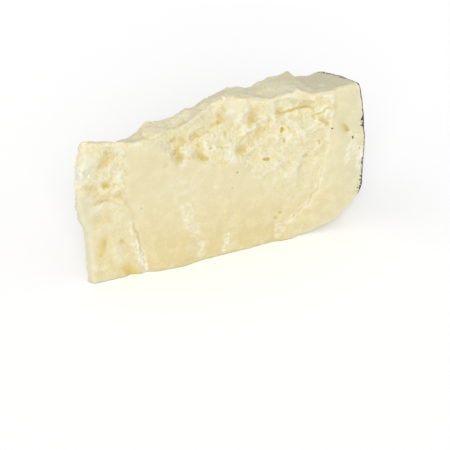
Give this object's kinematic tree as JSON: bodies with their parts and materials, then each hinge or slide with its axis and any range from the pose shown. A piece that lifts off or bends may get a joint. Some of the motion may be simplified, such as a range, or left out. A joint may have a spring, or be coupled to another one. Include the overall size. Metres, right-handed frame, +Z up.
{
  "type": "pecorino romano chunk",
  "caption": "Chunk of hard, aged sheep's-milk cheese broken from a black-rinded wheel: a narrow wedge with knife-cut sides, a craggy broken top and tip, and a strip of rind at its outer end.",
  "frame": {"origin": "centre of the box round the chunk, on its flat base", "axes": "+X along the front cut towards the rind, +Y towards the back cut, +Z up"},
  "size_m": [0.1648, 0.0464, 0.0879],
  "materials": {
    "paste": "matt pale ivory-yellow cheese paste, with a thin charcoal-black rind on the wheel's outer side"
  },
  "bodies": {
    "root": {"cheese_chunk": "paste"}
  },
  "joints": []
}
